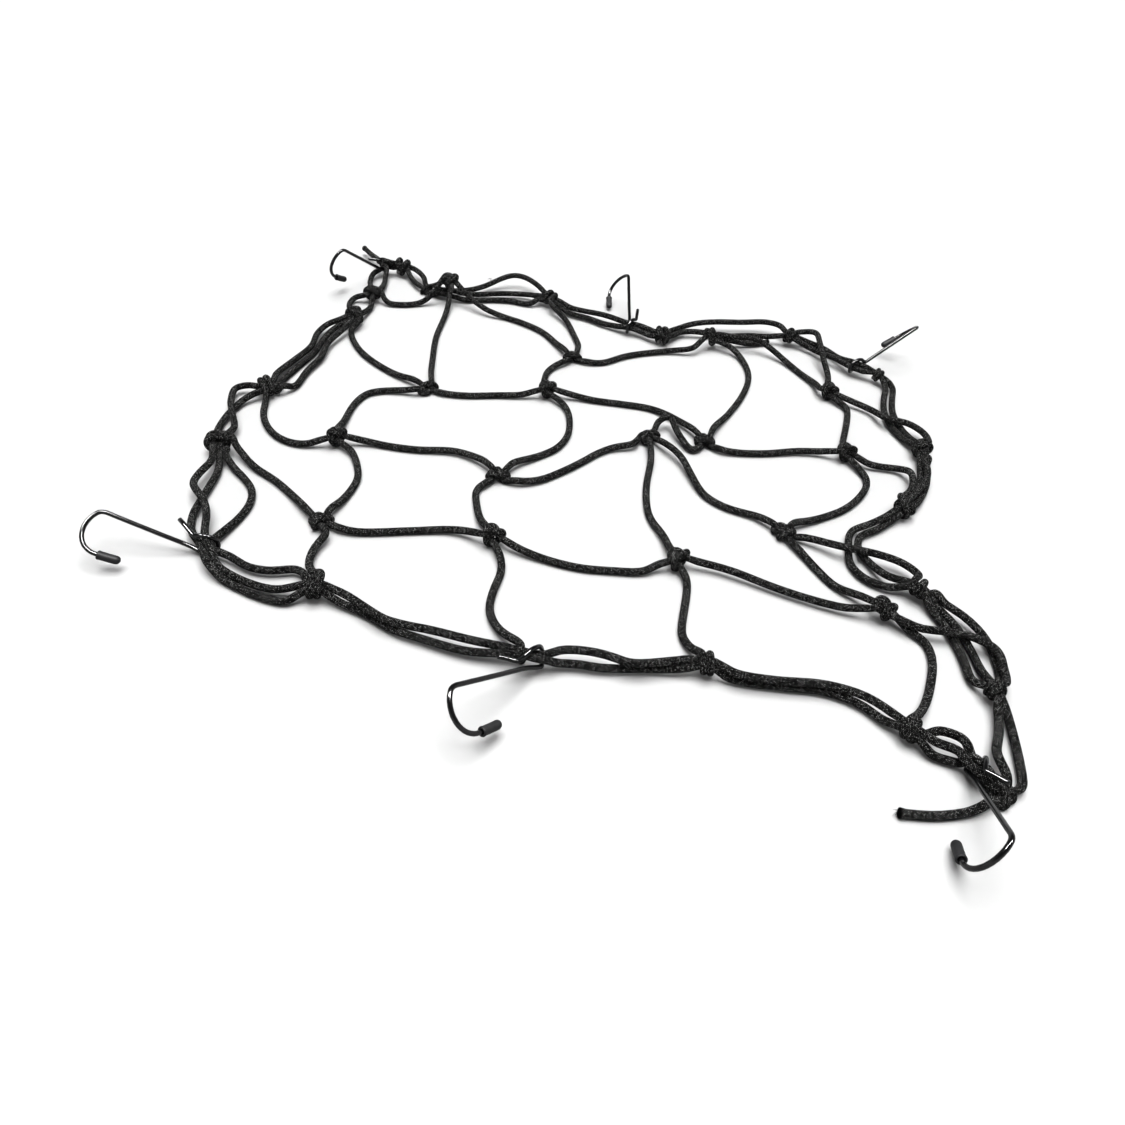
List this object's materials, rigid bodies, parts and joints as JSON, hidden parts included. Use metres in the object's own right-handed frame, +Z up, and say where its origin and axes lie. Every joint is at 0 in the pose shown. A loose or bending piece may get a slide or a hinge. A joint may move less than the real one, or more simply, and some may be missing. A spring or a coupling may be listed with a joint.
{
  "type": "luggage net",
  "caption": "Elastic cord cargo net lying loose on a surface, a knotted square mesh inside a doubled edge cord, with capped wire hooks round the edge to hold it over a load.",
  "frame": {"origin": "middle of the part in plan, on the surface it lies on", "axes": "+Z up, +Y away from the picture's viewer, +X to the viewer's right"},
  "size_m": [0.5116, 0.5902, 0.0378],
  "materials": {
    "cord": "braided synthetic sheath, black, faint sheen",
    "wire": "gloss black",
    "cap": "satin black"
  },
  "bodies": {
    "root": {"net": "cord", "hook_near_left": "wire", "hook_front": "wire", "hook_near_right": "wire", "hook_far_left": "wire", "hook_back": "wire", "hook_far_right": "wire", "cap_near_left": "cap", "cap_front": "cap", "cap_near_right": "cap", "cap_far_left": "cap", "cap_back": "cap", "cap_far_right": "cap"}
  },
  "joints": []
}
